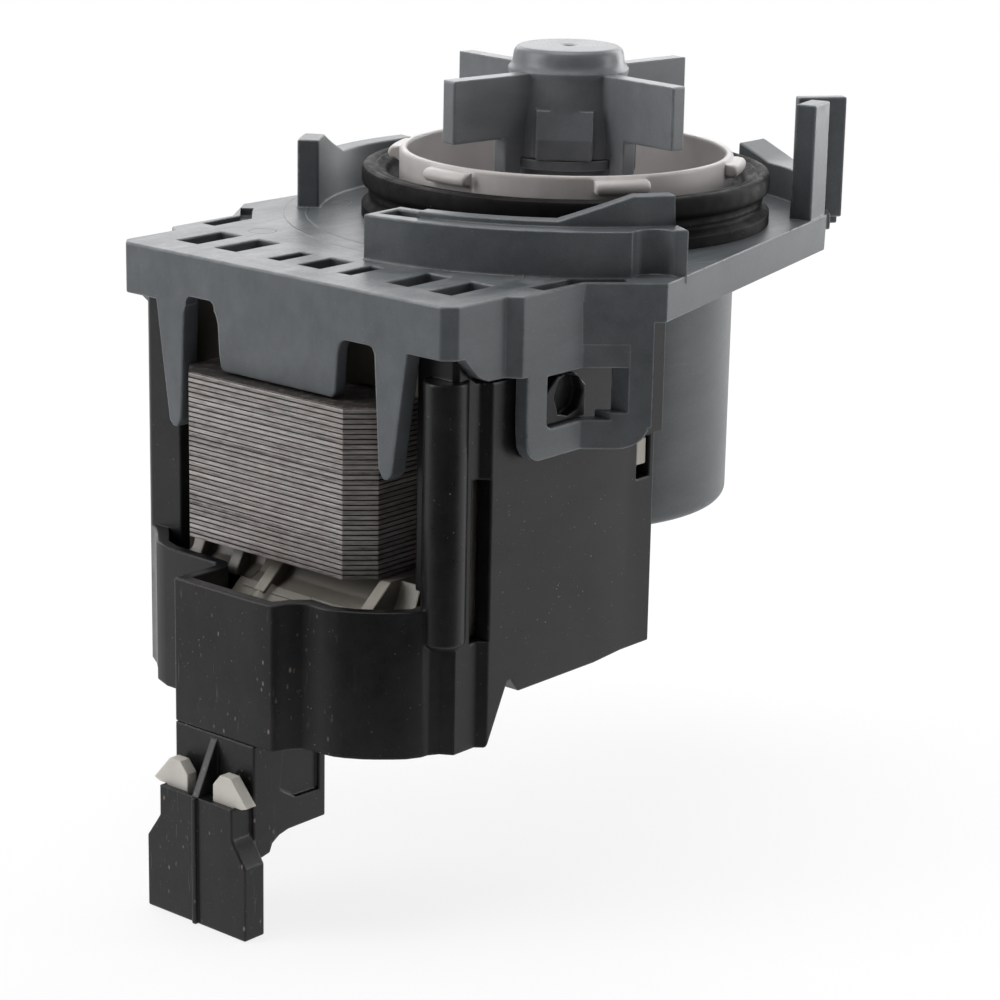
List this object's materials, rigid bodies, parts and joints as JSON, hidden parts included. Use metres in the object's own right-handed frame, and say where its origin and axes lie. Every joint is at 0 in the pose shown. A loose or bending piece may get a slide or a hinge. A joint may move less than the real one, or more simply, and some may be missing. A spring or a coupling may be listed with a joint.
{
  "type": "drain pump motor",
  "caption": "Dishwasher drain pump motor: moulded flange with bayonet ramps, ribbed seal, vaned impeller, laminated U-core in a black cover, plug housing below.",
  "frame": {"origin": "rotor axis at the top face of the flange plate, where the seal stands", "axes": "+Z along the rotor axis towards the impeller, -X towards the laminated core and the plug"},
  "size_m": [0.1192, 0.0811, 0.1137],
  "materials": {
    "flange_plastic": "moulded, satin, slightly scuffed",
    "impeller_plastic": "moulded, satin",
    "can_plastic": "moulded, semi-gloss off-white",
    "rubber": "moulded, matt",
    "bearing": "sintered",
    "shaft_steel": "ground",
    "ferrite": "pressed ferrite, ground",
    "washer_plastic": "moulded",
    "sheet_steel": "punched sheet, raw cut edges",
    "bobbin_plastic": "moulded off-white",
    "copper_wire": "enamelled winding",
    "lead_insulation": "insulated lead",
    "tinned_blade": "tin plated",
    "cover_plastic": "moulded black, satin"
  },
  "bodies": {
    "housing": {"flange_plate": "flange_plastic", "rotor_can": "can_plastic", "can_o_ring": "rubber", "sump_seal": "rubber", "bearing_cap": "flange_plastic", "front_bearing": "bearing", "front_damper": "rubber", "rear_bearing": "bearing", "rear_damper": "rubber", "stator_core": "sheet_steel", "bobbin": "bobbin_plastic", "coil_near": "copper_wire", "coil_far": "copper_wire", "winding_leads": "lead_insulation", "terminal_blades": "tinned_blade", "terminal_carrier": "bobbin_plastic", "motor_cover": "cover_plastic", "connector_housing": "cover_plastic"},
    "rotor": {"rotor_shaft": "shaft_steel", "rotor_sleeve": "can_plastic", "rotor_magnet": "ferrite", "front_thrust_washer": "washer_plastic", "rear_thrust_washer": "washer_plastic", "drive_dog": "can_plastic"},
    "impeller_wheel": {"impeller": "impeller_plastic", "impeller_base": "impeller_plastic"}
  },
  "joints": [
    {"name": "rotor_spin", "type": "hinge", "parent": "housing", "child": "rotor", "pos_m": [0, 0, 0], "axis": [0, 0, 1], "continuous": true},
    {"name": "impeller_lag", "type": "hinge", "parent": "rotor", "child": "impeller_wheel", "pos_m": [0, 0, 0], "axis": [0, 0, 1], "range_deg": [-94, 94]}
  ]
}
